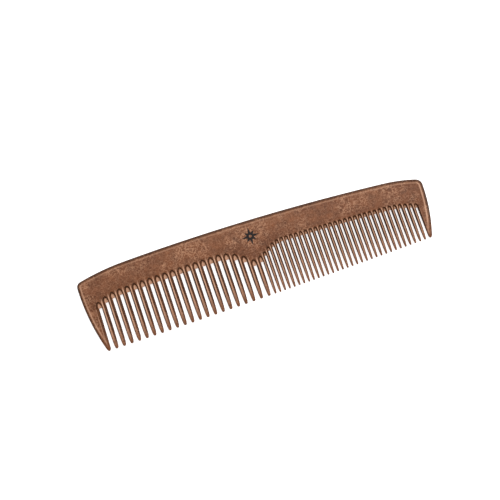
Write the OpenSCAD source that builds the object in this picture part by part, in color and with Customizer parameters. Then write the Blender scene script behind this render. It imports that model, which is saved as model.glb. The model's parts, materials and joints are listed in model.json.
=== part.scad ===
// Pocket beard comb: one moulded blade with a coarse and a fine section of teeth, and a printed emblem.
// Millimetres. X runs along the comb, from the coarse end (-X) to the fine end (+X).
// Y runs across it, from the tips (-Y) to the back (+Y). Z is the thickness, and the comb lies flat on Z = 0.
// The moulding is one piece on the real comb. Here it is divided where its forms change:
// the back, the two end teeth and every single tooth, each meeting the back face to face.

/* [Overall size] */
// Length of the comb, end to end
comb_length = 130; // [105:1:160]
// Depth of the comb, from the middle tips to the crown of the back
comb_depth = 29.6; // [24:0.1:36]
// Thickness of the back and of the tooth roots
back_thickness = 4; // [3:0.1:6]
// Thickness of a tooth at its tip
tip_thickness = 1.8; // [1.2:0.1:2.6]

/* [Outline] */
// Distance of the crown, the highest point of the back, from the coarse end
crown_from_end = 25; // [18:1:40]
// Radius of the long curve of the back, between its brow and its shoulder
back_radius = 830; // [500:10:1500]
// Distance from the coarse end at which the back turns down into its brow
brow_length = 19; // [12:1:24]
// Radius of that brow
brow_radius = 90; // [50:5:200]
// Distance from the fine end at which the back turns down into its shoulder
shoulder_length = 13; // [8:1:20]
// Radius of that shoulder
shoulder_radius = 55; // [30:1:100]
// Corner radius at the coarse end
coarse_corner_radius = 2.2; // [1:0.1:4]
// Corner radius at the fine end
fine_corner_radius = 2.6; // [1:0.1:4]
// Radius of the coarse end's outer edge
coarse_end_radius = 84; // [40:1:150]
// Radius of the fine end's outer edge
fine_end_radius = 62; // [40:1:150]
// How far below the crown the coarse end is widest
coarse_end_drop = 4.3; // [4:0.1:9]
// How far below the crown the fine end is widest
fine_end_drop = 9.3; // [8:0.1:12]
// Chamfer round the outer edge
edge_chamfer = 0.6; // [0.2:0.05:1]

/* [Root line] */
// Depth of the solid back at its deepest plain place, from the crown to the root line
band_depth = 11.05; // [9:0.05:13]
// Radius of the root line
root_radius = 1250; // [600:10:3000]
// Distance of the root line's highest point from the coarse end
root_crown_from_end = 20; // [10:1:40]
// How much deeper the back grows behind the emblem
shield_depth = 6.8; // [3:0.1:8]
// Reach of that deeper place towards the coarse end
shield_coarse_reach = 13.6; // [8:0.1:20]
// Reach of that deeper place towards the fine end
shield_fine_reach = 11.6; // [8:0.1:20]
// How much the root line drops at the first coarse gap
coarse_end_dip = 2.1; // [0:0.1:4]
// Reach of that drop
coarse_dip_reach = 8.7; // [4:0.1:15]
// How much the root line drops at the last fine gap
fine_end_dip = 1.7; // [0:0.1:4]
// Reach of that drop
fine_dip_reach = 11; // [4:0.1:15]

/* [Teeth] */
// Number of teeth in the coarse section
coarse_count = 21; // [12:1:22]
// Number of teeth in the fine section
fine_count = 32; // [20:1:34]
// Place of the gap between the two sections, from the comb's middle
split_x = 1.7; // [-6:0.1:6]
// Width of a coarse tooth at its root
coarse_tooth_w = 1.8; // [1.2:0.05:2.1]
// Width of a coarse tooth where its tip begins to round
coarse_tip_w = 1.0; // [0.7:0.05:1.2]
// Width of the flat crest of a coarse tooth at its root
coarse_crest_w = 0.5; // [0.2:0.05:0.8]
// Width of a fine tooth at its root
fine_tooth_w = 1.25; // [0.8:0.05:1.45]
// Width of a fine tooth where its tip begins to round
fine_tip_w = 0.65; // [0.5:0.05:0.8]
// Width of the flat crest of a fine tooth at its root
fine_crest_w = 0.35; // [0.15:0.05:0.6]
// Width of the coarse end tooth at its root
coarse_end_w = 5.2; // [4:0.1:7]
// Width of the fine end tooth at its root
fine_end_w = 4.6; // [3.5:0.1:7]
// Radius of the end teeth's tips
end_tip_r = 0.65; // [0.4:0.05:0.9]
// Lean of the end teeth's inner edges towards the comb's ends, in degrees
end_lean = 0.9; // [0:0.1:2]
// Length over which a tooth narrows towards its tip
taper_length = 10; // [6:0.5:12]
// How far the tips at the comb's ends lie back from those in the middle
tip_bow = 0.5; // [0:0.05:1]
// Distance from the crown over which the faces are flat; below it they thin towards the tips
flat_depth = 14.8; // [12:0.1:16]
// Height of the upright strip along the middle of a tooth's flank
flank_land = 0.5; // [0.2:0.05:1]
// Length of the stubs that the back keeps between its gaps, where the teeth meet it
root_stub = 0.3; // [0.1:0.05:1]
// Length of the ramp that ends a coarse gap on each face
coarse_ramp = 2.15; // [1:0.05:3]
// Length of the ramp that ends a fine gap on each face
fine_ramp = 1.25; // [0.8:0.05:2]
// How much narrower a ramp is than its gap, on each side
ramp_inset = 0.05; // [0.03:0.01:0.1]

/* [Printed emblem] */
// Height of the printed star from its middle to a long point
star_long_r = 3.4; // [2:0.1:4]
// Reach of its short points
star_short_r = 2.5; // [1.5:0.1:3]
// Radius at the valleys between its points
star_valley_r = 1.3; // [0.9:0.05:1.4]
// Number of long points
star_points = 4; // [3:1:6]
// Radius of the unprinted dot in its middle
star_eye_r = 0.5; // [0.2:0.05:0.7]
// Place of the emblem along the comb
emblem_x = 0.7; // [-4:0.1:4]
// Place of the emblem below the crown
emblem_drop = 7.1; // [5:0.1:9]
// Thickness of the ink
ink_thickness = 0.03; // [0.02:0.01:0.1]

/* [Hidden] */
tooth_count = coarse_count + fine_count;
half_length = comb_length / 2;
crown_y = comb_depth / 2;
tip_line_y = -comb_depth / 2;
mid_z = back_thickness / 2;
crown_x = crown_from_end - half_length;
flat_y = crown_y - flat_depth;
face_rise = mid_z - flank_land / 2;
overcut = 1;
skin = 0.2;
wood_brown = [0.53, 0.36, 0.27];
ink_black = [0.14, 0.12, 0.12];

// The blade's outer edge is a chain of arcs, each tangent to the next.
back_centre = [crown_x, crown_y - back_radius];
coarse_end_centre = [coarse_end_radius - half_length, crown_y - coarse_end_drop];
fine_end_centre = [half_length - fine_end_radius, crown_y - fine_end_drop];
brow_angle = acos((brow_length - half_length - crown_x) / back_radius);
brow_centre = back_centre + (back_radius - brow_radius) * [cos(brow_angle), sin(brow_angle)];
shoulder_angle = acos((half_length - shoulder_length - crown_x) / back_radius);
shoulder_centre = back_centre
    + (back_radius - shoulder_radius) * [cos(shoulder_angle), sin(shoulder_angle)];
coarse_corner_centre = inner_corner(brow_centre, brow_radius, coarse_end_centre, coarse_end_radius,
    coarse_corner_radius, 1);
fine_corner_centre = inner_corner(shoulder_centre, shoulder_radius, fine_end_centre, fine_end_radius,
    fine_corner_radius, -1);

// Centre of a small circle that touches two large ones from inside: it lies (large - small) from both centres.
function inner_corner(a, ra, b, rb, r, side) =
    let (d = norm(b - a),
         along = (pow(ra - r, 2) - pow(rb - r, 2) + d * d) / (2 * d),
         off = sqrt(pow(ra - r, 2) - along * along),
         u = (b - a) / d)
    a + along * u + side * off * [-u[1], u[0]];

// Direction from one point to another, in degrees from -90 to 270, so that it grows from the fine end's tip
// over the back to the coarse end's.
function heading(from, to) =
    let (v = to - from, a = atan2(v[1], v[0]))
    a < -90 ? a + 360 : a;

// Pitch of a section: its span holds its teeth, a whole gap beside each and half a gap at the split.
function section_pitch(span, count, width) = (span + width / 2) / (count + 0.5);
coarse_pitch = section_pitch(split_x + half_length - coarse_end_w, coarse_count, coarse_tooth_w);
fine_pitch = section_pitch(half_length - fine_end_w - split_x, fine_count, fine_tooth_w);

function is_coarse(i) = i < coarse_count;
function tooth_x(i) = is_coarse(i)
    ? split_x - coarse_pitch * (coarse_count - i - 0.5)
    : split_x + fine_pitch * (i - coarse_count + 0.5);
function tooth_w(i) = is_coarse(i) ? coarse_tooth_w : fine_tooth_w;
function crest_w(i) = is_coarse(i) ? coarse_crest_w : fine_crest_w;
function tip_w(i) = is_coarse(i) ? coarse_tip_w : fine_tip_w;

// Gap k lies between tooth k - 1 and tooth k; the first and the last also border an end tooth.
function gap_left(k) = k == 0 ? coarse_end_w - half_length : tooth_x(k - 1) + tooth_w(k - 1) / 2;
function gap_right(k) = k == tooth_count ? half_length - fine_end_w : tooth_x(k) - tooth_w(k) / 2;
function gap_x(k) = (gap_left(k) + gap_right(k)) / 2;
function flank_bevel(i) = (tooth_w(i) - crest_w(i)) / 2;
function gap_bevel(i) = flank_bevel(min(max(i, 0), tooth_count - 1));
function gap_ramp(k) = k <= coarse_count ? coarse_ramp : fine_ramp;

// Tips lie on a shallow bow, lowest in the middle.
function tip_y(x) = tip_line_y + tip_bow * pow(x / half_length, 2);

// The root line is a long arc, lowered near each end and behind the emblem by smooth dips.
function dip(distance, depth, reach) = depth * pow(max(0, 1 - distance / reach), 2);
function root_y(x) = crown_y - band_depth
    - pow(x + half_length - root_crown_from_end, 2) / (2 * root_radius)
    - dip(x - gap_x(0), coarse_end_dip, coarse_dip_reach)
    - dip(gap_x(tooth_count) - x, fine_end_dip, fine_dip_reach)
    - dip(abs(x), shield_depth, x < 0 ? shield_coarse_reach : shield_fine_reach);
function gap_y(k) = root_y(gap_x(k));

// A tooth meets the back a stub below the nearer of its two gap ends, so that it is one plain rod.
function joint_y(i) = min(gap_y(max(i, 0)), gap_y(min(i + 1, tooth_count))) - root_stub;

function two_digits(n) = n < 10 ? str("0", n) : str(n);
function coarse_name(i) = str("coarse_tooth_", two_digits(i + 1));
function fine_name(i) = str("fine_tooth_", two_digits(i + 1));

// Points along an arc, without its first one, so that arcs join into one outline.
function arc(centre, radius, from_angle, to_angle, steps) =
    [for (s = [1:steps])
        let (a = from_angle + (to_angle - from_angle) * s / steps)
        centre + radius * [cos(a), sin(a)]];

// The blade's outer edge, moved inwards by an inset, from below the fine end's tip round to the coarse end's.
function outline(inset) =
    let (fine_low = -asin((fine_end_centre[1] - tip_line_y) / fine_end_radius),
         fine_turn = heading(fine_end_centre, fine_corner_centre),
         shoulder_turn = heading(shoulder_centre, fine_corner_centre),
         brow_turn = heading(brow_centre, coarse_corner_centre),
         coarse_turn = heading(coarse_end_centre, coarse_corner_centre),
         coarse_low = 180 + asin((coarse_end_centre[1] - tip_line_y) / coarse_end_radius))
    concat(
        arc(fine_end_centre, fine_end_radius - inset, fine_low, fine_turn, 10),
        arc(fine_corner_centre, fine_corner_radius - inset, fine_turn, shoulder_turn, 7),
        arc(shoulder_centre, shoulder_radius - inset, shoulder_turn, shoulder_angle, 5),
        arc(back_centre, back_radius - inset, shoulder_angle, brow_angle, 16),
        arc(brow_centre, brow_radius - inset, brow_angle, brow_turn, 7),
        arc(coarse_corner_centre, coarse_corner_radius - inset, brow_turn, coarse_turn, 7),
        arc(coarse_end_centre, coarse_end_radius - inset, coarse_turn, coarse_low, 12),
        [coarse_end_centre + (coarse_end_radius - inset) * [cos(coarse_low), sin(coarse_low)] - [0, overcut],
         fine_end_centre + (fine_end_radius - inset) * [cos(fine_low), sin(fine_low)] - [0, overcut]]
    );

// The blade seen from its end: flat at the back, then two long arcs that close in on the tips.
module side_profile() {
    drop = mid_z - tip_thickness / 2;
    run = flat_y - tip_line_y;
    face_radius = (run * run + drop * drop) / (2 * drop);
    translate([flat_y, 0])
        square([crown_y - flat_y, back_thickness]);
    intersection() {
        translate([tip_line_y, 0])
            square([run, back_thickness]);
        translate([flat_y, back_thickness - face_radius])
            circle(face_radius, $fn = 256);
        translate([flat_y, face_radius])
            circle(face_radius, $fn = 256);
    }
}

// Sets a profile drawn in Y and Z upright and carries it along X.
module along_x(from_x, to_x) {
    translate([from_x, 0, 0])
        rotate([90, 0, 90])
            linear_extrude(to_x - from_x)
                children();
}

// Sets a profile drawn in X and Z upright and carries it along Y.
module along_y(from_y, to_y) {
    translate([0, to_y, 0])
        rotate([90, 0, 0])
            linear_extrude(to_y - from_y)
                children();
}

// The whole blade before its gaps are cut, with its outer edge chamfered on both faces.
module blade() {
    intersection() {
        hull() {
            linear_extrude(back_thickness)
                polygon(outline(edge_chamfer));
            translate([0, 0, edge_chamfer])
                linear_extrude(back_thickness - 2 * edge_chamfer)
                    polygon(outline(0));
        }
        along_x(-half_length - overcut, half_length + overcut)
            side_profile();
    }
}

// Space between two tooth flanks, in X and Z: upright in the middle, opening towards both faces.
module gap_section(k) {
    left = gap_left(k);
    right = gap_right(k);
    left_bevel = gap_bevel(k - 1) * (face_rise + skin) / face_rise;
    right_bevel = gap_bevel(k) * (face_rise + skin) / face_rise;
    polygon([
        [left - left_bevel, back_thickness + skin],
        [left, mid_z + flank_land / 2],
        [left, mid_z - flank_land / 2],
        [left - left_bevel, -skin],
        [right + right_bevel, -skin],
        [right, mid_z - flank_land / 2],
        [right, mid_z + flank_land / 2],
        [right + right_bevel, back_thickness + skin]
    ]);
}

// One ramp on the upper face: a slightly narrower opening, tilted so that it runs out through the face.
module gap_ramp_cut(k) {
    ramp = gap_ramp(k);
    slope = atan2(face_rise, ramp);
    depth = 2 * face_rise;
    spread = depth / (face_rise * cos(slope));
    reach = norm([face_rise, ramp]) + depth;
    left = gap_left(k) + ramp_inset;
    right = gap_right(k) - ramp_inset;
    intersection() {
        translate([0, gap_y(k), mid_z + flank_land / 2])
            rotate([slope, 0, 0])
                along_y(-reach, reach)
                    polygon([
                        [left - gap_bevel(k - 1) * spread, depth],
                        [left, 0],
                        [right, 0],
                        [right + gap_bevel(k) * spread, depth]
                    ]);
        translate([gap_left(k) - coarse_pitch, gap_y(k) - ramp_inset, mid_z])
            cube([3 * coarse_pitch, ramp + overcut, mid_z + skin]);
    }
}

// A gap cut in the back: an upright part past the stubs of both neighbouring teeth, and two ramps.
module gap_cut(k) {
    along_y(min(joint_y(k - 1), joint_y(k)) - overcut, gap_y(k))
        gap_section(k);
    gap_ramp_cut(k);
    translate([0, 0, back_thickness])
        mirror([0, 0, 1])
            gap_ramp_cut(k);
}

// The back reaches down to each tooth's own joint, in steps that fall inside the gaps.
module back_area() {
    steps = [for (i = [-1:tooth_count], side = [0, 1])
        let (x = i + side < 0 ? -half_length - overcut
               : i + side > tooth_count ? half_length + overcut
               : gap_x(i + side))
        [x, joint_y(i)]];
    polygon(concat(
        steps,
        [[half_length + overcut, crown_y + overcut], [-half_length - overcut, crown_y + overcut]]
    ));
}

module back() {
    color(wood_brown)
        difference() {
            intersection() {
                blade();
                translate([0, 0, -overcut])
                    linear_extrude(back_thickness + 2 * overcut)
                        back_area();
            }
            for (k = [0:tooth_count])
                gap_cut(k);
        }
}

// Rounds a tip in every direction: a ball nose that opens into a cone, with its axis along Y.
module nose(x, radius) {
    open = 30;
    length = comb_depth;
    translate([x, tip_y(x) + radius, mid_z])
        rotate([-90, 0, 0])
            rotate_extrude($fn = 64)
                intersection() {
                    union() {
                        circle(radius, $fn = 64);
                        polygon([
                            [0, -radius * sin(open)],
                            [radius * cos(open), -radius * sin(open)],
                            [radius * cos(open) + length * tan(open), length],
                            [0, length]
                        ]);
                    }
                    translate([0, -radius])
                        square([length, length + radius]);
                }
}

// Plan of a tooth: parallel to where it starts to narrow, then two arcs towards the tip.
// A tooth that is shorter than its narrowing starts to narrow a stub's length below its joint.
module tooth_plan(i) {
    x = tooth_x(i);
    run = min(taper_length, joint_y(i) - root_stub - tip_y(x));
    sides = 8;
    loss = (tooth_w(i) - tip_w(i)) / 2;
    half = [for (s = [0:sides])
        let (t = s / sides)
        [tooth_w(i) / 2 - loss * t * t, tip_y(x) + run * (1 - t)]];
    polygon(concat(
        [[x + tooth_w(i) / 2, joint_y(i)]],
        [for (p = half) [x + p[0], p[1]]],
        [for (s = [sides:-1:0]) [x - half[s][0], half[s][1]]],
        [[x - tooth_w(i) / 2, joint_y(i)]]
    ));
}

// Section of a tooth in X and Z: a flat crest on both faces and bevelled flanks.
module tooth_section(i) {
    slope = flank_bevel(i) / face_rise;
    ridge = tooth_w(i) / 2 + slope * flank_land / 2;
    crest = crest_w(i) / 2 - slope * skin;
    top = mid_z + skin;
    translate([tooth_x(i), mid_z])
        polygon([
            [-crest, top],
            [-ridge, 0],
            [-crest, -top],
            [crest, -top],
            [ridge, 0],
            [crest, top]
        ]);
}

module tooth(i) {
    x = tooth_x(i);
    width = tooth_w(i);
    color(wood_brown)
        intersection() {
            translate([0, 0, -overcut])
                linear_extrude(back_thickness + 2 * overcut)
                    tooth_plan(i);
            along_x(x - width, x + width)
                side_profile();
            along_y(tip_line_y - overcut, joint_y(i) + overcut)
                tooth_section(i);
            nose(x, tip_w(i) * 0.6);
        }
}

// Distance of an end's outer edge from the comb's middle, at a height in Y.
function outer_reach(side, centre, radius, y) = side * centre[0] + sqrt(radius * radius - pow(centre[1] - y, 2));

// An end tooth: the blade's own outer edge on one side, a leaning bevelled flank on the other.
// side is -1 at the coarse end and 1 at the fine end.
module end_tooth(side) {
    neighbour = side < 0 ? 0 : tooth_count - 1;
    flank = side < 0 ? gap_left(0) : gap_right(tooth_count);
    root = joint_y(side < 0 ? -1 : tooth_count);
    width = side < 0 ? coarse_end_w : fine_end_w;
    grow = face_rise + overcut;
    bevel = side * flank_bevel(neighbour) * grow / face_rise;
    measure_y = tip_line_y + 2 * end_tip_r;
    outer = side < 0
        ? outer_reach(side, coarse_end_centre, coarse_end_radius, measure_y)
        : outer_reach(side, fine_end_centre, fine_end_radius, measure_y);
    inner = abs(flank) + (root - measure_y) * tan(end_lean);
    color(wood_brown)
        intersection() {
            blade();
            translate([flank, root, mid_z])
                rotate(side * end_lean)
                    along_y(-comb_depth, 0)
                        polygon([
                            [0, flank_land / 2],
                            [bevel, flank_land / 2 + grow],
                            [side * 2 * width, flank_land / 2 + grow],
                            [side * 2 * width, -flank_land / 2 - grow],
                            [bevel, -flank_land / 2 - grow],
                            [0, -flank_land / 2]
                        ]);
            translate([side * half_length - width, tip_line_y - overcut, -overcut])
                cube([2 * width, root - tip_line_y + overcut, back_thickness + 2 * overcut]);
            nose(side * (outer + inner) / 2, end_tip_r);
        }
}

// A plain star of long and short points, with an open eye.
module printed_emblem() {
    turns = star_points * 4;
    color(ink_black)
        translate([emblem_x, crown_y - emblem_drop, back_thickness])
            linear_extrude(ink_thickness)
                difference() {
                    polygon([for (n = [0:turns - 1])
                        let (r = n % 2 == 1 ? star_valley_r : n % 4 == 0 ? star_long_r : star_short_r,
                             a = 90 + n * 360 / turns)
                        r * [cos(a), sin(a)]]);
                    circle(star_eye_r, $fn = 48);
                }
}

back();
end_tooth(-1);  // coarse_end_tooth
end_tooth(1);  // fine_end_tooth
printed_emblem();
for (i = [0:coarse_count - 1]) tooth(i);
for (i = [0:fine_count - 1]) tooth(coarse_count + i);
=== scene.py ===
# %% [markdown]
# # A pocket beard comb
# A beard comb is a flat bar of moulded material with two sections of teeth: coarse ones that open a
# beard up and fine ones that finish it. This lesson dresses the comb's CAD model. The model gives
# every place and size, and the pieces made here have the soft edges, hollowed gap ends and fibrous
# skin that the real moulding has.

# %% Load the model
import json
import bpy
import numpy as np
from mathutils import Matrix, Vector


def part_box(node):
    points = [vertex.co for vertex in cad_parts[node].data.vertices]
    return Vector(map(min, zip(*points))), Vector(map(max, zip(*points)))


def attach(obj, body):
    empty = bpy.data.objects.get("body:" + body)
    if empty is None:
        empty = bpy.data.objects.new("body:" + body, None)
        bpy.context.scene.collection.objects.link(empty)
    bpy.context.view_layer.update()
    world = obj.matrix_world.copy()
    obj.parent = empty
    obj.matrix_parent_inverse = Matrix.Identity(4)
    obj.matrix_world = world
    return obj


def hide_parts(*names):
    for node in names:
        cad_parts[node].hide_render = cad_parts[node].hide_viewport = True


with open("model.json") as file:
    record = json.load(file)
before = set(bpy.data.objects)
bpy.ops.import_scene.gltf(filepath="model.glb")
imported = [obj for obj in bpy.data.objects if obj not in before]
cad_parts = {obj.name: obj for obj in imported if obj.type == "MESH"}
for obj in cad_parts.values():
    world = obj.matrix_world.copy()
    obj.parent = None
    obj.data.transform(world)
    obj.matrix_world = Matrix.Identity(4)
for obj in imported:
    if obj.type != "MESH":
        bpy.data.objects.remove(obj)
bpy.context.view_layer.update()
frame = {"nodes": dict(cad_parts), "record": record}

# %% [markdown]
# ## Where the teeth are
# The shapes below are worked out in millimetres, because a comb's details are tenths of a millimetre
# wide. Each tooth's own box tells its middle, its width, where it meets the back and where its tip
# lies, so nothing about the teeth is typed in twice. A gap is what is left between two neighbours.

# %% Teeth and gaps, read from the model
MM = 0.001
nodes = [entry["node"] for entry in frame["record"]["subparts"]]
TEETH = [n for kind in ("coarse_tooth", "fine_tooth") for n in sorted(nodes) if n.startswith(kind)]


def corners(node):
    """A node's lowest and highest corner in millimetres."""
    return np.array([list(c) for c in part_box(node)]) / MM


boxes = np.array([corners(n) for n in TEETH])
coarse = np.array([n.startswith("coarse") for n in TEETH])
tooth_x = boxes[:, :, 0].mean(1)
tooth_w = boxes[:, 1, 0] - boxes[:, 0, 0]
joint_y = boxes[:, 1, 1]
tip_y = boxes[:, 0, 1]
ends = {-1: corners("coarse_end_tooth"), 1: corners("fine_end_tooth")}
end_joint = {side: ends[side][1, 1] for side in ends}
gap_left = np.append(ends[-1][1, 0], tooth_x + tooth_w / 2)
gap_right = np.append(tooth_x - tooth_w / 2, ends[1][0, 0])
gap_x = (gap_left + gap_right) / 2
TOP = corners("back")[1, 2]
MID = TOP / 2
print(len(TEETH), "teeth,", len(gap_x), "gaps; pitch", np.diff(tooth_x)[[0, -1]].round(3), "mm")

# %% [markdown]
# ## Sizes of the moulding's small forms
# A tooth isn't a plain bar. Its flanks slope from an upright strip half way up, the land, to a narrow
# flat crest, which lets hair slide in from either face. The slopes are the model's own. The end of
# each gap is hollowed into a small arched pocket in both faces, and the model's own vertices tell
# where the through gap stops.

# %% Flanks, crests and gap ends
LAND = 0.5
RISE = MID - LAND / 2
NEAR_VERTEX = 0.003
crest_w = np.where(coarse, 0.5, 0.35)
bevel = (tooth_w - crest_w) / 2
tip_w = np.where(coarse, 1.0, 0.65)
near = np.clip(np.arange(len(gap_x)), 0, len(TEETH) - 1)
bevel_right = bevel[near]
bevel_left = bevel[np.clip(np.arange(len(gap_x)) - 1, 0, len(TEETH) - 1)]
ramp_length = np.where(gap_x < tooth_x[coarse][-1] + 2, 2.15, 1.3)

flat = np.empty(3 * len(frame["nodes"]["back"].data.vertices))
frame["nodes"]["back"].data.vertices.foreach_get("co", flat)
cad = flat.reshape(-1, 3) / MM
on_land = np.abs(cad[:, 2] - MID - LAND / 2) < NEAR_VERTEX
at_wall = np.abs(cad[:, None, 0] - gap_left[None]) < NEAR_VERTEX
gap_y = np.where(on_land[:, None] & at_wall, cad[:, None, 1], -99).max(0)
print("gap ends from", gap_y.min().round(2), "to", gap_y.max().round(2), "mm")

# %% [markdown]
# ## The outline
# The comb's edge is a chain of circular arcs, each tangent to the next. A point on such an arc, and
# the same point moved straight inwards, differ only in radius, so the rounded rim can be laid out
# without any offset tool.

# %% Arcs of the outer edge
CROWN = corners("back")[1, 1]
HALF = 65.0
CROWN_X = -40.0
BACK_RADIUS = 830.0
END_RADIUS = {-1: 84.0, 1: 62.0}
END_DROP = {-1: 4.3, 1: 9.3}
ARC = {"back": (np.array([CROWN_X, CROWN - BACK_RADIUS]), BACK_RADIUS)}
for side in (-1, 1):
    centre = np.array([side * (HALF - END_RADIUS[side]), CROWN - END_DROP[side]])
    ARC[side] = (centre, END_RADIUS[side])
TURN = {}
for name, turn_x, radius in (("brow", 19 - HALF, 90.0), ("shoulder", HALF - 13, 55.0)):
    TURN[name] = np.arccos((turn_x - CROWN_X) / BACK_RADIUS)
    ray = np.array([np.cos(TURN[name]), np.sin(TURN[name])])
    ARC[name] = (ARC["back"][0] + (BACK_RADIUS - radius) * ray, radius)


def corner_centre(first, second, radius, side):
    """Middle of a small circle that touches two arcs from inside.

    It lies (arc radius - its own radius) from each arc's centre.
    """
    (a, ra), (b, rb) = ARC[first], ARC[second]
    reach = np.hypot(*(b - a))
    along = ((ra - radius) ** 2 - (rb - radius) ** 2 + reach ** 2) / (2 * reach)
    u = (b - a) / reach
    return a + along * u + side * np.sqrt((ra - radius) ** 2 - along ** 2) * np.array([-u[1], u[0]])


RIM = {-1: 2.2, 1: 2.6}
CORNER = {-1: corner_centre("brow", -1, RIM[-1], 1), 1: corner_centre("shoulder", 1, RIM[1], -1)}


def rim_width(x):
    """Width of the band along the edge: the corner radius at each end, blended evenly between them."""
    return np.interp(x, [CORNER[-1][0], CORNER[1][0]], [RIM[-1], RIM[1]])


def top_edge(x):
    """Inner and outer point of the rim above x: one ray, at the arc's radius less the rim and in full."""
    pairs = []
    for name in ("brow", "back", "shoulder"):
        centre, radius = ARC[name]
        cos = (x - centre[0]) / (radius - rim_width(x))
        ray = np.stack([cos, np.sqrt(1 - np.clip(cos, -1, 1) ** 2)], -1)
        pairs.append([centre + (radius - rim_width(x))[:, None] * ray, centre + radius * ray])
    inner_radius = BACK_RADIUS - rim_width(x)
    brow_x, shoulder_x = (CROWN_X + inner_radius * np.cos(TURN[n]) for n in ("brow", "shoulder"))
    pick = np.where(x < brow_x, 0, np.where(x < shoulder_x, 1, 2))[:, None]
    return np.choose(pick, [p[0] for p in pairs]), np.choose(pick, [p[1] for p in pairs])


def end_edge_x(side, y, inset):
    """x of an end's outer arc at height y, moved inwards by inset."""
    centre, radius = ARC[side]
    return centre[0] + side * np.sqrt((radius - inset) ** 2 - (y - centre[1]) ** 2)


print("corners at", CORNER[-1].round(2), CORNER[1].round(2))

# %% [markdown]
# ## Heights
# Seen from its face the comb is a height map, the same on both sides of its middle plane. Its faces
# are flat over the back and thin towards the tips on a long arc. Everything else lowers that face:
# the sloping flanks, the pockets and the rounded rim. A soft minimum joins such surfaces with a small
# rounding, as a mould's edges have.

# %% Height functions
THINNING = 1.1
FACE_RADIUS = (CROWN ** 2 + THINNING ** 2) / (2 * THINNING)
EDGE_RADIUS = 0.6
BEVEL_DROP = 0.16


def face(y):
    """Half thickness of the blade: flat above y = 0, and a circle's fall below it."""
    return MID - FACE_RADIUS + np.sqrt(FACE_RADIUS ** 2 - np.minimum(y, 0) ** 2)


def soft_min(a, b, k=0.3):
    """The lower of two heights, rounded over a band of k where they cross."""
    h = np.clip(0.5 + 0.5 * (b - a) / k, 0, 1)
    return b + (a - b) * h - k * h * (1 - h)


def rim(inset, top):
    """Height near the outer edge: a shallow bevel inside, then a quarter round down to the side wall."""
    radius = np.minimum(EDGE_RADIUS, EDGE_RADIUS * top)
    drop = BEVEL_DROP * np.clip((1.4 - inset) / 0.8, 0, 1) ** 1.2 * top / MID
    across = np.clip(radius - inset, 0, None)
    return top - drop - radius + np.sqrt(np.clip(radius ** 2 - across ** 2, 0, None))


def pocket(x, y, k):
    """Height of gap k's opening: walls that rise from an arch-shaped foot, and a floor that ramps up.

    Also gives how far along the ramp each point is, and how far its wall stands above its floor.
    """
    slope = np.where(x < gap_x[k], bevel_left[k], bevel_right[k])
    half = (gap_right[k] - gap_left[k]) / 2
    across = np.abs(x - gap_x[k]) / (half + slope)
    along = np.clip((y - gap_y[k]) / ramp_length[k], 0, None)
    arch = (across ** 1.8 + along ** 1.8) ** (1 / 1.8)
    wall = 1 - (1 - arch) * (half + slope) / slope
    floor = 0.5 * along
    return LAND / 2 + RISE * -soft_min(-wall, -floor, 0.12), np.clip(along, 0, 1.5), wall - floor


print("half thickness at the tips", face(-14.8).round(3), "mm")

# %% [markdown]
# ## From a height map to a closed piece
# A piece is laid out as quads over its upper face only. Its twin below is the same with the heights
# turned over, and a strip of quads along every open border closes the side walls. Points that fall
# together are merged, which also turns the quads round a corner or a tip into triangles.

# %% Mesh helpers
def weld(points, quads, extra):
    """Merges equal points. A quad that lost a corner becomes a triangle, one that lost more is dropped."""
    keys = np.round(points / 1e-5).astype(np.int64)
    _, first, index = np.unique(keys, axis=0, return_index=True, return_inverse=True)
    quads = index.reshape(-1)[quads]
    same = quads == np.roll(quads, -1, axis=1)
    lost = same.sum(1)
    order = np.argsort(same, axis=1, kind="stable")[:, :3]
    threes = np.take_along_axis(quads, order, 1)[lost == 1]
    whole = quads[lost == 0]
    return points[first], whole, threes, extra[first]


def borders(faces):
    """Directed edges that only one face uses."""
    pairs = [np.stack([f.ravel(), np.roll(f, -1, axis=1).ravel()], 1) for f in faces if len(f)]
    edges = np.concatenate(pairs)
    _, index, count = np.unique(np.sort(edges, 1), axis=0, return_inverse=True, return_counts=True)
    return edges[count[index.reshape(-1)] == 1]


def closed_piece(name, points, quads, extra, material):
    """The upper face, its mirror image below and side walls between their borders, as one smooth mesh."""
    points, whole, threes, extra = weld(points, quads, extra)
    n = len(points)
    edge = borders([whole, threes])
    walls = np.stack([edge[:, 1], edge[:, 0], edge[:, 0] + n, edge[:, 1] + n], 1)
    tris4 = np.concatenate([threes, threes[:, 2:]], 1)
    upper = np.concatenate([whole, tris4])
    both = np.concatenate([points, points * [1, 1, -1]])
    faces = np.concatenate([upper, upper[:, ::-1] + n, walls])
    points, whole, threes, extra = weld(both, faces, np.tile(extra, (2, 1)))
    mesh = bpy.data.meshes.new(name)
    mesh.from_pydata(((points + [0, 0, MID]) * MM).tolist(), [], whole.tolist() + threes.tolist())
    mesh.shade_smooth()
    mesh.set_sharp_from_angle(angle=np.radians(38))
    for label, values in zip(("band", "tone"), extra.T):
        mesh.attributes.new(label, "FLOAT", "POINT").data.foreach_set("value", values.astype(np.float32))
    mesh.materials.append(material)
    piece = bpy.data.objects.new(name, mesh)
    bpy.context.scene.collection.objects.link(piece)
    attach(piece, "root")
    return piece


def grid_quads(rows, columns):
    """Quads of a grid of points, row by row, facing up when rows run towards +Y and columns towards +X."""
    index = np.arange(rows * columns).reshape(rows, columns)
    return np.stack([index[:-1, :-1], index[:-1, 1:], index[1:, 1:], index[1:, :-1]], -1).reshape(-1, 4)


print("helpers ready")

# %% [markdown]
# ## Fine maths for materials
# A material is a small calculation for every point of the surface. Written as boxes and wires it is
# hard to read, so a shader value gets Python's own operators here, and each one adds the node that
# does the sum.

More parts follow.
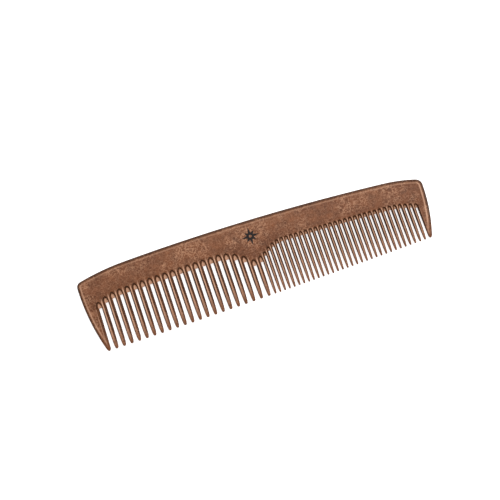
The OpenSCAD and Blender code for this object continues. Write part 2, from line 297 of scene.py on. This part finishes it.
# %% Shader helpers
class Value:
    """A socket that carries a number. Arithmetic on it adds Math nodes."""

    def __init__(self, maker, socket):
        self.maker, self.socket = maker, socket

    def math(self, operation, *values):
        """One Math node on these numbers or values."""
        return self.maker.node("ShaderNodeMath", dict(operation=operation), *values)

    def __add__(self, other): return self.math("ADD", self, other)
    def __sub__(self, other): return self.math("SUBTRACT", self, other)
    def __rsub__(self, other): return self.math("SUBTRACT", other, self)
    def __mul__(self, other): return self.math("MULTIPLY", self, other)
    def __abs__(self): return self.math("ABSOLUTE", self)
    __radd__, __rmul__ = __add__, __mul__

    def ramp(self, low, high):
        """0 below low, 1 above high and a smooth step between; high may be the smaller one."""
        return self.maker.node("ShaderNodeMapRange", dict(interpolation_type="SMOOTHSTEP"),
                               self, low, high, 0.0, 1.0)


class Maker:
    """Builds one material around a Principled shader."""

    def __init__(self, name, colour, **constants):
        self.material = bpy.data.materials.new(name)
        self.material.use_nodes = True
        self.material.diffuse_color = (*colour, 1)
        self.tree = self.material.node_tree
        self.shader = self.tree.nodes["Principled BSDF"]
        for socket, value in constants.items():
            self.shader.inputs[socket.replace("_", " ")].default_value = value

    def node(self, kind, settings, *values, output=0):
        """Adds a node: settings are its properties, values go to its sockets in order, None skips one."""
        made = self.tree.nodes.new(kind)
        for key, value in settings.items():
            setattr(made, key, value)
        sockets = [s for s in made.inputs if s.enabled]
        for socket, value in zip(sockets, values):
            if isinstance(value, Value):
                self.tree.links.new(value.socket, socket)
            elif value is not None:
                socket.default_value = value
        outputs = made.outputs if isinstance(output, str) else [s for s in made.outputs if s.enabled]
        return Value(self, outputs[output])

    def attribute(self, name):
        """A number stored on the mesh."""
        return self.node("ShaderNodeAttribute", dict(attribute_name=name), output="Fac")

    def noise(self, where, scale, detail=2.0, roughness=0.5):
        """Cloudy noise between 0 and 1; scale is in waves per metre."""
        return self.node("ShaderNodeTexNoise", {}, where, scale, detail, roughness, output="Fac")

    def mix(self, share, first, second, blend="MIX"):
        """Mixes two colours by share."""
        return self.node("ShaderNodeMix", dict(data_type="RGBA", blend_type=blend), share, first, second)

    def vector(self, operation, *values):
        """One Vector Math node."""
        return self.node("ShaderNodeVectorMath", dict(operation=operation), *values)

    def finish(self, **links):
        """Joins values to the shader's sockets and returns the material."""
        for socket, value in links.items():
            self.tree.links.new(value.socket, self.shader.inputs[socket.replace("_", " ")])
        return self.material


def srgb(red, green, blue):
    """A display colour of 0 to 255 as linear light with a full alpha."""
    c = np.array([red, green, blue]) / 255
    return (*np.where(c > 0.04045, ((c + 0.055) / 1.055) ** 2.4, c / 12.92), 1.0)


print("red 136 in linear light:", round(float(srgb(136, 0, 0)[0]), 3))

# %% [markdown]
# ## The moulded wood-fibre skin
# The real material is plastic filled with wood fibre. Short pale fibres lie curled just under the
# skin, thick here and sparse there, on a brown ground that drifts in tone. The curls are made as the
# contour lines of a noise whose space is first pushed about by another noise: a contour of warped
# noise is a thin line that bends and closes on itself. A slow noise breaks the lines up. Light and shade
# are painted into the colour too: painted shade darkens the rim, the flanks and the pockets' arched
# walls, and painted highlight lightens the crests, a stripe inside the rim and the pocket floors. The
# mesh carries them as a number named tone: below zero it darkens, above zero it lightens. A second
# number, band, grows from the gap ends to the crown; where it is small the ground is painted darker and
# browner and the pale fibres are fewer, as painted shade towards the roots.

# %% Wood-fibre material
def fibre_skin():
    m = Maker("wood_fibre", srgb(136, 92, 69)[:3], Roughness=0.5, IOR=1.47, Specular_IOR_Level=0.2)
    place = m.node("ShaderNodeTexCoord", {}, output="Object")
    band, tone = m.attribute("band"), m.attribute("tone")
    push = m.node("ShaderNodeTexNoise", {}, place, 900.0, 2.0, 0.5, output="Color")
    bent = m.vector("MULTIPLY_ADD", push, (0.0016, 0.0016, 0.0016), place)
    line = 1 - abs(m.noise(bent, 1000.0, 1.0) - 0.5).ramp(0.0, 0.09)
    patch = m.noise(place, 170.0, 3.0).ramp(0.40, 0.62)
    # Fewer pale fibres where band is small, towards the gap ends: part of the painted shade there.
    curls = line * (0.25 + 0.75 * patch) * (0.5 + 0.5 * band.ramp(0.0, 0.7))
    short = 1 - abs(m.noise(bent, 1500.0, 0.0) - 0.52).ramp(0.0, 0.08)
    blotch = m.noise(place, 420.0, 4.0, 0.65)
    cloud = m.noise(place, 70.0, 2.0).ramp(0.35, 0.65)
    speck = m.noise(place, 1300.0, 2.0, 0.6).ramp(0.55, 0.68)
    low = m.mix(cloud, srgb(99, 53, 25), srgb(107, 60, 32))
    high = m.mix(cloud, srgb(109, 65, 41), srgb(118, 72, 45))
    # Ground painted darker and browner where band is small, towards the gap ends: painted shade.
    ground = m.mix(band.ramp(0.0, 0.9), low, high)
    drift = 1.5 * blotch + 0.2
    ground = m.mix(1.0, ground, m.node("ShaderNodeCombineColor", {}, drift, drift, drift), "MULTIPLY")
    pale = m.mix(0.7 * curls + 0.25 * short, ground, srgb(188, 138, 106))
    dark = m.mix(0.3 * speck, pale, srgb(74, 40, 24))
    # Painted highlight where tone is above zero, and painted shade towards dark brown where it is below
    # zero.
    light = m.mix(tone.ramp(0.0, 1.0), dark, srgb(204, 159, 130))
    edge = m.mix((-1 * tone).ramp(0.0, 1.0), light, srgb(50, 35, 26))
    rough = 0.46 + 0.16 * blotch - 0.10 * curls
    height = 0.5 * curls + 0.5 * m.noise(place, 4200.0, 2.0)
    bump = m.node("ShaderNodeBump", {}, 0.16, 0.00006, None, height, output="Normal")
    return m.finish(Base_Color=edge, Roughness=rough, Normal=bump)


skin = fibre_skin()
print("skin nodes:", len(skin.node_tree.nodes))

# %% [markdown]
# ## The back
# The back is laid out in columns that follow every wall and crest, and in rows that start at the gap
# ends and crowd together over the pockets. Beyond the last walls the columns spread out to the rim.
# The rim is a second band of quads whose inner points are the first grid's own border, so the two
# join without a crack.

# %% Columns and rows of the back
SIDE_STEPS = np.linspace(0, 1, 7)
RINGS = np.array([1.0, 0.8, 0.68, 0.58, 0.5, 0.42, 0.35, 0.29, 0.24, 0.19, 0.14, 0.09, 0.05, 0.02, 0.0])


def flank_steps(slope, half):
    """Distances in from a wall: along the flank, round its upper edge, then to the tooth's middle."""
    return np.array([0, 0.25 * slope, 0.5 * slope, 0.75 * slope, slope - 0.07, slope + 0.06, half])


columns, owner, is_tooth = [], [], []
for k in range(len(gap_x)):
    inner = np.linspace(gap_left[k], gap_right[k], 7 if ramp_length[k] > 2 else 6)[1:-1]
    columns.append(inner), owner.append(np.full(len(inner), k))
    is_tooth.append(np.zeros(len(inner), bool))
    if k < len(TEETH):
        inwards = flank_steps(bevel[k], tooth_w[k] / 2)
        across = np.concatenate([gap_right[k] + inwards, (gap_left[k + 1] - inwards)[-2::-1]])
        columns.append(across), owner.append(np.full(len(across), k))
        is_tooth.append(np.ones(len(across), bool))
columns, owner, is_tooth = map(np.concatenate, (columns, owner, is_tooth))

end_in = {side: flank_steps(bevel[0 if side < 0 else -1], 0)[:-1] for side in (-1, 1)}
first_x = {-1: gap_left[0] - end_in[-1], 1: gap_right[-1] + end_in[1]}
columns = np.concatenate([first_x[-1][::-1], columns, first_x[1]])
last_gap = len(gap_x) - 1
left_gap = np.concatenate([np.zeros(6, int), owner, np.full(6, last_gap)])
is_tooth = np.concatenate([np.ones(6, bool), is_tooth, np.ones(6, bool)])
right_gap = np.where(is_tooth, np.minimum(left_gap + 1, last_gap), left_gap)
right_gap[:6] = 0
walls = np.stack([gap_left, gap_right], 1).ravel()
level = np.where(is_tooth, np.interp(columns, walls, np.repeat(gap_y, 2)), gap_y[left_gap])
reach = np.interp(columns, walls, np.repeat(ramp_length, 2))
joint = joint_y[np.minimum(owner, len(TEETH) - 1)]
foot = np.concatenate([np.full(6, end_joint[-1]), np.where(is_tooth[6:-6], joint, gap_y[owner] - 0.3),
                       np.full(6, end_joint[1])])
inner_top = top_edge(columns)[0]
climb = np.concatenate([np.linspace(0, 1.12, 19), 1.12 + np.linspace(0, 1, 8)[1:] ** 1.2])
part = np.clip(climb - 1.12, 0, 1)[:, None]
middle_y = (level + reach * np.minimum(climb, 1.12)[:, None]) * (1 - part) + inner_top[:, 1] * part
middle_y = np.concatenate([foot[None], middle_y])
middle_x = np.broadcast_to(columns, middle_y.shape)
print("back grid:", middle_y.shape[0], "rows by", middle_y.shape[1], "columns")

# %% The ends of the back and its rim
def end_grid(side):
    """From the rim (0) to the first column (1) at an end: rows keep their share of the way up."""
    edge = 0 if side < 0 else -1
    up = (middle_y[:, edge] - middle_y[0, edge]) / (middle_y[-1, edge] - middle_y[0, edge])
    x_top = CORNER[side][0] + SIDE_STEPS * (middle_x[0, edge] - CORNER[side][0])
    y_top = top_edge(x_top)[0][:, 1]
    y = middle_y[0, edge] + up[:, None] * (y_top - middle_y[0, edge])
    start = end_edge_x(side, y[:, :1], RIM[side])
    return start + SIDE_STEPS * (middle_x[0, edge] - start), y


def along_end(side, y):
    """Inner and outer rim points of an end's rows: one ray from the arc's centre crosses both."""
    centre, radius = ARC[side]
    inner = np.stack([end_edge_x(side, y, RIM[side]), y], -1)
    return inner, centre + (inner - centre) * radius / (radius - RIM[side])


def round_corner(side, name):
    """The rim's fan at a corner: its inner points are all the corner's own centre."""
    rays = np.array([CORNER[side] - ARC[name][0], CORNER[side] - ARC[side][0]])
    stop, start = np.unwrap(np.arctan2(rays[:, 1], rays[:, 0]))
    angles = np.linspace(start, stop, 11)[1:-1]
    ray = np.stack([np.cos(angles), np.sin(angles)], -1)
    return np.broadcast_to(CORNER[side], ray.shape), CORNER[side] + RIM[side] * ray


left_x, left_y = end_grid(-1)
right_x, right_y = end_grid(1)
grid_x = np.concatenate([left_x[:, :-1], middle_x, right_x[:, -2::-1]], 1)
grid_y = np.concatenate([left_y[:, :-1], middle_y, right_y[:, -2::-1]], 1)
rows, width = grid_x.shape
pad = len(SIDE_STEPS) - 1
gap_a, gap_b = np.pad(left_gap, pad, mode="edge"), np.pad(right_gap, pad, mode="edge")
solid_column = np.pad(is_tooth, pad, mode="edge")
top_inner, top_outer = top_edge(grid_x[-1, 1:-1])
chain = [along_end(-1, grid_y[:, 0]), round_corner(-1, "brow"), (top_inner, top_outer),
         [a[::-1] for a in round_corner(1, "shoulder")], [a[::-1] for a in along_end(1, grid_y[:, -1])]]
inner, outer = (np.concatenate([np.asarray(part[n]) for part in chain]) for n in (0, 1))
end_count = len(chain[0][0]) + len(chain[1][0])
rim_size = np.concatenate([np.full(end_count, RIM[-1]), rim_width(grid_x[-1, 1:-1]),
                           np.full(end_count, RIM[1])])
print("rim:", len(RINGS), "rings by", len(inner), "columns")

# %% The back as one closed piece
def fade(value, full, none):
    """1 at full, 0 at none, straight between."""
    return np.clip((value - none) / (full - none), 0, 1)


open_a, open_b = pocket(grid_x, grid_y, gap_a), pocket(grid_x, grid_y, gap_b)
opening, along, wall = (np.where(open_a[0] < open_b[0], a, b) for a, b in zip(open_a, open_b))
grid_z = soft_min(face(grid_y), opening)
bottom, top = np.pad(level, pad, mode="edge"), grid_y[-1]
# band runs from 0 at the gap ends to 1 at the rim's inner edge; the skin's painted shade is strongest at 0.
grid_band = np.clip((grid_y - bottom) / (top - bottom), 0, 1)
nearest = np.abs(grid_x[..., None] - tooth_x).argmin(-1)
from_crest = np.abs(grid_x - tooth_x[nearest]) - crest_w[nearest] / 2
# Painted light and shade on the back: a painted highlight on each crest near the gap end that fades up the
# ramp, a pale painted pocket floor, and painted shade on the pocket's arched wall, darker towards its top.
inside = fade(opening, MID - 0.1, MID + 0.05)
rise = (grid_y - bottom) / ramp_length[gap_a]
crest = fade(from_crest, -0.12, 0.05) * fade(rise, 0.3, 1.3) * solid_column
on_wall = fade(wall, 0.3, 0.05)
grid_painted_light = crest * (1 - inside) + inside * (0.9 - on_wall * (1.35 + 0.35 * along))
quads = grid_quads(rows, width)
pair = np.tile(solid_column[:-1] & solid_column[1:], rows - 1)
quads = quads[pair | (np.arange(len(quads)) >= width - 1)]


def rim_shade_and_highlight(inset, stripe):
    """Painted light across the rim: painted shade where it turns down, and a painted highlight stripe just
    inside that.
    """
    return stripe * np.exp(-((inset - 1.25) / 0.32) ** 2) - 0.6 * fade(inset, 0.65, 1.0)


inset = RINGS[:, None] * rim_size
ring = outer + (inner - outer) * RINGS[:, None, None]
rim_z = rim(inset, face(ring[..., 1]))
# The painted highlight stripe is stronger on the ends than along the top, and a little stronger towards the
# right end, where the lamp is; along the top both painted marks sit a little further in.
sideways = np.abs(outer - inner)[:, 0] / np.hypot(*(outer - inner).T)
at_right = np.clip(outer[:, 0] / 60, 0, 1)
rim_tone = rim_shade_and_highlight(inset - 0.22 * (1 - sideways), 0.4 + sideways ** 2 * (0.25 + 0.05 * at_right))
rim_band = np.clip((ring[..., 1] - end_joint[-1]) / 10, 0, 1)
points = np.concatenate([np.stack([grid_x, grid_y, grid_z], -1).reshape(-1, 3),
                         np.concatenate([ring, rim_z[..., None]], -1).reshape(-1, 3)])
extra = np.concatenate([np.stack([grid_band, grid_painted_light], -1).reshape(-1, 2),
                        np.stack([rim_band, rim_tone], -1).reshape(-1, 2)])
quads = np.concatenate([quads, grid_quads(*inset.shape) + grid_x.size])
back = closed_piece("comb_back", points, quads, extra, skin)
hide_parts("back")
print("back:", len(back.data.polygons), "faces")

# %% [markdown]
# ## The teeth
# Each tooth is one section carried from its joint to its tip. The section is the model's hexagon with
# softened edges. It keeps its width until it nears the tip, narrows on a gentle curve, and closes
# inside a small ball, as a beard comb's tips must, because they touch skin.

# %% Section and tip
def ball_nose(reach, radius):
    """Radius of the tip at a distance from its end: a ball, then a 30 degree cone that the ball touches."""
    ball = np.sqrt(np.clip(radius ** 2 - (radius - reach) ** 2, 0, None))
    cone = radius * np.cos(np.pi / 6) + (reach - radius / 2) * np.tan(np.pi / 6)
    return np.where(reach < radius / 2, ball, cone)


def tooth_rows(root, tip, radius):
    """Heights in Y from the joint to the tip: even along the blade, and closer round the tip's ball."""
    turn = np.linspace(np.pi / 3, 0, 6)
    near_tip = tip + radius * (1 - np.cos(turn))
    cone = np.linspace(tip + 2.2 * radius, near_tip[0], 5)[:-1]
    return np.concatenate([np.linspace(root, cone[0], 20)[:-1], cone, near_tip])


def tooth(n):
    """Half width is full until 10 mm from the tip, then loses the square of the way down."""
    radius = tip_w[n] * 0.6
    y = tooth_rows(joint_y[n], tip_y[n], radius)[:, None]
    down = np.clip((tip_y[n] + 10 - y) / 10, 0, 1)
    nose = ball_nose(y - tip_y[n], radius)
    half = np.minimum(tooth_w[n] / 2 - (tooth_w[n] - tip_w[n]) / 2 * down ** 2, nose)
    steps = flank_steps(bevel[n], tooth_w[n] / 2)
    across = np.concatenate([steps - tooth_w[n] / 2, (tooth_w[n] / 2 - steps)[-2::-1]]) / (tooth_w[n] / 2)
    x = across * half
    flank = LAND / 2 + RISE * (tooth_w[n] / 2 - np.abs(x)) / bevel[n]
    top = soft_min(face(y), flank, 0.3)
    z = np.minimum(top, np.sqrt(np.clip(nose ** 2 - x ** 2, 0, None)))
    z = np.where(nose < 0.02, 0, z)
    edge = crest_w[n] / 2 + (MID - face(y)) * bevel[n] / RISE
    # Painted highlight on the crest, fading out towards the tip, and painted shade on the flanks.
    crest = fade(np.abs(x), edge - 0.12, edge + 0.05)
    tone = crest * fade(y, -2, -16) - 0.45 * (1 - crest)
    points = np.stack([x + tooth_x[n], y + 0 * x, z], -1).reshape(-1, 3)
    extra = np.stack([0 * x, tone], -1).reshape(-1, 2)
    quads = grid_quads(*x.shape)[:, ::-1]
    return closed_piece("comb_" + TEETH[n], points, quads, extra, skin)


for n, node in enumerate(TEETH):
    piece = tooth(n)
    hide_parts(node)
print("teeth:", len(TEETH), "pieces of", len(piece.data.polygons), "faces")

# %% [markdown]
# ## The end teeth
# The two outer teeth guard the others. Each has the comb's own rounded rim on its outer side and a
# leaning flank on its inner side. Both are measured from their own edges, so as the tooth narrows
# they come together by themselves and the flat between them runs out to a point.

# %% End teeth
LEAN = np.radians(0.9)
END_TIP = 0.65


def end_tooth(side):
    """Columns run from the flank to the rim's inner edge and on round the rim, and narrow together."""
    node = "coarse_end_tooth" if side < 0 else "fine_end_tooth"
    centre, radius = ARC[side]
    near = 0 if side < 0 else -1
    root, low = end_joint[side], ends[side][0, 1]
    flank_x = gap_left[0] if side < 0 else gap_right[-1]
    measure = low + 2 * END_TIP
    tip_x = (end_edge_x(side, measure, 0) + flank_x + side * (root - measure) * np.tan(LEAN)) / 2
    y = tooth_rows(root, low, END_TIP)[:, None]
    nose = ball_nose(y - low, END_TIP)
    inner_x = flank_x + side * (root - y) * np.tan(LEAN)
    room = np.abs(end_edge_x(side, y, 0) - inner_x)
    scale = np.minimum(1, room / (RIM[side] + end_in[side][-1] + 0.6))
    first = inner_x + side * end_in[side] * scale
    rim_x = end_edge_x(side, y, RIM[side] * scale)
    between = first[:, -1:] + (rim_x - first[:, -1:]) * SIDE_STEPS[1:]
    start = np.concatenate([rim_x, y], 1)
    away = centre + (start - centre) * radius / (radius - RIM[side] * scale)
    slant = (away[:, 1:] - y) * ((y - low) / (root - low)) ** 2
    rest = 1 - RINGS[1:]
    rim_y = y + slant * rest
    rim_points_x = rim_x + (end_edge_x(side, y + slant, 0) - rim_x) * rest
    x = np.concatenate([first, between, rim_points_x], 1)
    y = np.concatenate([np.broadcast_to(y, (len(y), x.shape[1] - len(rest))), rim_y], 1)
    widest = np.abs(x[:, [0, -1]] - tip_x).max(1, keepdims=True)
    x = tip_x + (x - tip_x) * np.minimum(1, nose / widest)
    from_flank = side * (x - flank_x - side * (root - y) * np.tan(LEAN)) * np.cos(LEAN)
    from_edge = radius - np.hypot(x - centre[0], y - centre[1])
    flank = LAND / 2 + RISE * np.clip(from_flank, 0, None) / bevel[near]
    top = np.minimum(soft_min(face(y), flank), rim(np.clip(from_edge, 0, None), face(y)))
    z = np.minimum(top, np.sqrt(np.clip(nose ** 2 - (x - tip_x) ** 2, 0, None)))
    z = np.where(nose < 0.02, 0, z)
    # Painted shade on the inner flank and a painted highlight just above its top edge, plus the rim's
    # painted shade and highlight, whose stripe is a little stronger on the right end tooth, nearer the
    # lamp; all of it is weaker towards the tip.
    tone = 0.7 * np.exp(-((from_flank - bevel[near] - 0.15) / 0.2) ** 2) - 0.35 * fade(from_flank, 0.6, 1.0)
    tone = (tone + rim_shade_and_highlight(from_edge, 0.67 + 0.05 * (side + 1))) * (0.3 + 0.7 * fade(y, low + 7, low + 1))
    points = np.stack([x, y, z], -1).reshape(-1, 3)
    # band is lowest beside the flank, so the ground's painted shade is darkest there.
    band = 0.5 * np.clip((from_flank - 0.5) / 2, 0, 1)
    quads = grid_quads(*x.shape)
    quads = quads[:, ::-1] if side > 0 else quads
    extra = np.stack([band, np.clip(tone, -1, 1)], -1).reshape(-1, 2)
    piece = closed_piece("comb_" + node, points, quads, extra, skin)
    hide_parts(node)
    return piece


for side in (-1, 1):
    made = end_tooth(side)
    print(made.name, len(made.data.polygons), "faces")

# %% [markdown]
# ## The printed star
# The real comb carries a small print in black ink. Here it is a plain star, and the model's own solid
# already has its shape, so only its material is new: a matt ink that the skin's grain shows through
# and that handling has thinned in a few fine places.

# %% Ink
def ink():
    m = Maker("ink", srgb(28, 22, 22)[:3], Roughness=0.6, IOR=1.45, Specular_IOR_Level=0.2)
    place = m.node("ShaderNodeTexCoord", {}, output="Object")
    worn = m.noise(place, 2600.0, 3.0, 0.6).ramp(0.60, 0.74)
    tone = m.mix(m.noise(place, 700.0, 2.0), srgb(22, 17, 17), srgb(38, 30, 29))
    colour = m.mix(0.45 * worn, tone, srgb(100, 68, 50))
    bump = m.node("ShaderNodeBump", {}, 0.2, 0.00003, None, m.noise(place, 4200.0, 2.0), output="Normal")
    return m.finish(Base_Color=colour, Roughness=0.5 + 0.2 * m.noise(place, 1500.0), Normal=bump)


star = frame["nodes"]["printed_emblem"]
star.data.materials.clear()
star.data.materials.append(ink())
print("star:", star.name)

# %% [markdown]
# ## Floor, light and camera
# The comb lies on a pale floor that glows faintly, as a light table does, so that the gaps between
# the teeth stay bright. One broad soft light hangs over it. The camera looks down on the upper face,
# a little from the tips' side, and is rolled so that the comb climbs to the right.

# %% Stage
def plain(name, colour, glow):
    m = Maker(name, colour, Roughness=0.9)
    m.shader.inputs["Base Color"].default_value = (*colour, 1)
    m.shader.inputs["Emission Color"].default_value = (1, 1, 1, 1)
    m.shader.inputs["Emission Strength"].default_value = glow
    return m.material


sheet = bpy.data.meshes.new("floor")
floor_corners = [(x, y, -0.0002) for x, y in ((-2, -2), (2, -2), (2, 2), (-2, 2))]
sheet.from_pydata(floor_corners, [], [(0, 1, 2, 3)])
sheet.materials.append(plain("pale_floor", (0.86, 0.86, 0.86), 0.75))
floor = bpy.data.objects.new("floor", sheet)
bpy.context.scene.collection.objects.link(floor)

world = bpy.data.worlds.new("studio")
bpy.context.scene.world = world
world.use_nodes = True
world.node_tree.nodes["Background"].inputs["Color"].default_value = (1, 1, 1, 1)
world.node_tree.nodes["Background"].inputs["Strength"].default_value = 0.36


def soft_light(name, place, size, power):
    """A square area light at a place in metres that faces the comb."""
    lamp = bpy.data.lights.new(name, "AREA")
    lamp.size, lamp.energy = size, power
    holder = bpy.data.objects.new(name, lamp)
    holder.location = place
    holder.rotation_euler = (-Vector(place)).to_track_quat("-Z", "Y").to_euler()
    bpy.context.scene.collection.objects.link(holder)


soft_light("overhead", (0.28, 0.05, 0.8), 0.7, 7.0)
bpy.context.scene.view_settings.view_transform = "Standard"

DISTANCE, SEEN = 0.5, 0.1799
turned = (Matrix.Rotation(np.radians(19.55), 3, "Z") @ Matrix.Rotation(np.radians(-2.92), 3, "Y")
          @ Matrix.Rotation(np.radians(-11.27), 3, "X")).transposed()
lens = bpy.data.cameras.new("camera")
lens.sensor_width, lens.lens, lens.clip_start = 36.0, 36.0 * DISTANCE / SEEN, 0.01
camera = bpy.data.objects.new("camera", lens)
target = Vector((0.00045, -0.00005, 0.002))
place = target + turned @ Vector((-0.00255, 0.00266, DISTANCE))
camera.matrix_world = Matrix.Translation(place) @ turned.to_4x4()
bpy.context.scene.collection.objects.link(camera)
bpy.context.scene.camera = camera
print("camera at, mm:", [round(1000 * c, 1) for c in camera.matrix_world.translation])
